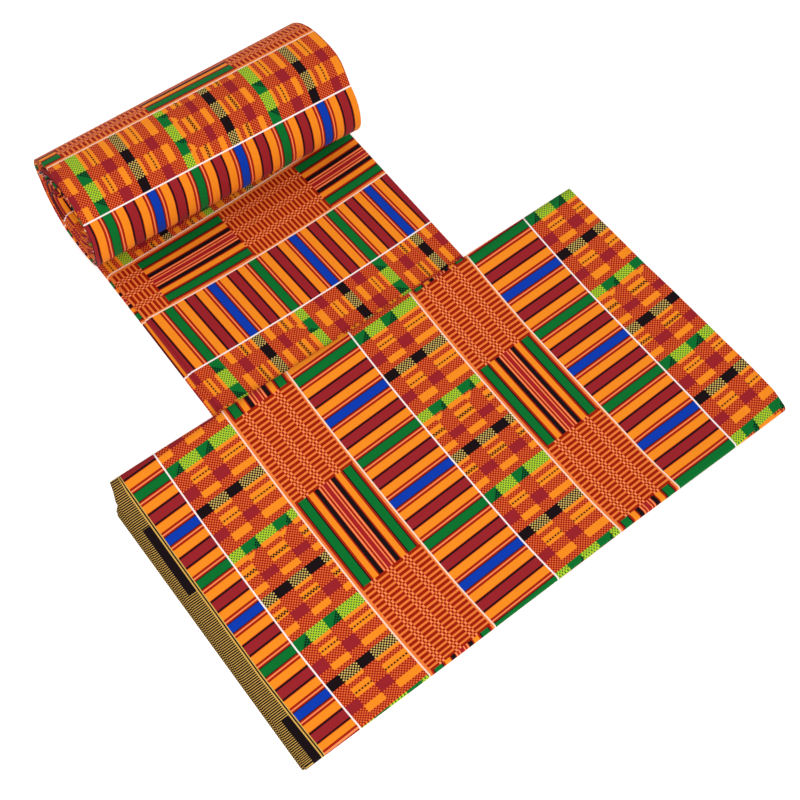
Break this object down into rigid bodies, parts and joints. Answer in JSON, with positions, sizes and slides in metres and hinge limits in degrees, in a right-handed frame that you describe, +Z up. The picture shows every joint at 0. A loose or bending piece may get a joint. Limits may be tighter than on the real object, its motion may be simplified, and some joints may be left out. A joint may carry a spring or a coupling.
{
  "type": "ankara fabric",
  "caption": "Length of ankara wax-print cotton, folded back and forth into a flat panel at one end and wound into a loose roll at the other.",
  "frame": {"origin": "on the surface that the cloth rests on, under the middle of the cloth's box", "axes": "+X along the folded panel's long edge, from the selvages to the centre fold; +Y from the panel to the roll; +Z up"},
  "size_m": [0.5742, 0.6518, 0.1065],
  "materials": {
    "cloth": "printed cotton with a low waxed sheen"
  },
  "bodies": {
    "root": {"cloth": "cloth"}
  },
  "joints": []
}
